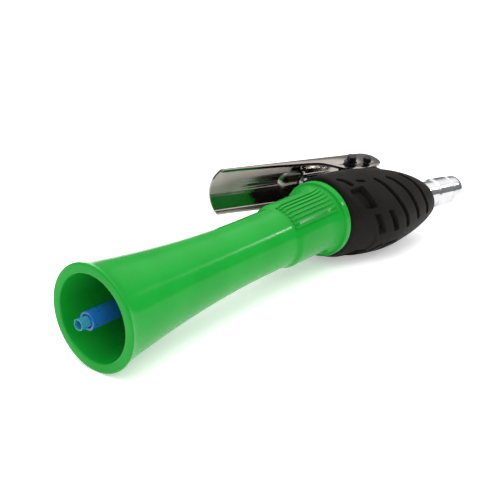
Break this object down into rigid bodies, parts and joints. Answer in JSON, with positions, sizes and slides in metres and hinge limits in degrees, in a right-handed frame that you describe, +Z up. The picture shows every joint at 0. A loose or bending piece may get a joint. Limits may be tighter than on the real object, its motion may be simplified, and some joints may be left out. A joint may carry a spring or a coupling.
{
  "type": "compressed-air whirl cleaning gun",
  "caption": "Air-driven cleaning gun: flared nozzle cone round a spinning air tube, bent rubber-covered grip, squeeze lever and a hose plug.",
  "frame": {"origin": "centre of the nozzle cone's mouth", "axes": "+X back along the nozzle axis towards the grip, +Z up from the surface that the gun lies on, +Y to the lever's side"},
  "size_m": [0.228, 0.0746, 0.04],
  "materials": {
    "green_plastic": "gloss moulded",
    "blue_plastic": "satin",
    "clear_blue": "translucent",
    "boot_rubber": "matt",
    "seal_rubber": "matt",
    "black_casting": "satin black",
    "aluminium": "turned",
    "bearing_steel": "ground",
    "lever_steel": "polished",
    "chrome": "bright",
    "dark_steel": "black oxide",
    "brass": "turned",
    "white_plastic": "matt"
  },
  "bodies": {
    "gun": {"nozzle_cone": "green_plastic", "cone_seal": "seal_rubber", "nozzle_holder": "aluminium", "bearing_outer_rings": "bearing_steel", "hub_seal": "white_plastic", "valve_body": "black_casting", "rubber_boot": "boot_rubber", "stem_gland": "brass", "stem_seal": "seal_rubber", "valve_spring": "bearing_steel", "spring_cap": "brass", "inlet_filter": "brass", "plug_washer": "seal_rubber", "air_plug": "chrome", "lever_pin": "dark_steel", "pin_clips": "dark_steel"},
    "spinner": {"spinner_hub": "aluminium", "hub_clip": "dark_steel", "bearing_inner_rings": "bearing_steel", "bearing_balls": "bearing_steel", "bearing_spacer": "aluminium", "spin_sleeve": "blue_plastic", "spin_tube": "clear_blue"},
    "lever": {"lever": "lever_steel", "stop_pin": "dark_steel"},
    "stem": {"valve_stem": "bearing_steel", "stem_button": "chrome", "poppet": "brass", "poppet_face": "seal_rubber"}
  },
  "joints": [
    {"name": "tube_spin", "type": "hinge", "parent": "gun", "child": "spinner", "pos_m": [0.11, 0, 0], "axis": [1, 0, 0], "continuous": true},
    {"name": "lever_squeeze", "type": "hinge", "parent": "gun", "child": "lever", "pos_m": [0.1677, 0.01252, 0.00266], "axis": [0, -0.2079, 0.9781], "range_deg": [0, 12], "stiffness_Nm_per_rad": 1, "springref_deg": -14.32},
    {"name": "stem_press", "type": "slide", "parent": "gun", "child": "stem", "axis": [0, -0.9781, -0.2079], "range_m": [0, 0.0033], "deforming": ["valve_spring"]}
  ],
  "couplings": [
    {"joint": "stem_press", "follows": "lever_squeeze", "m_per_rad": 0.015312}
  ]
}
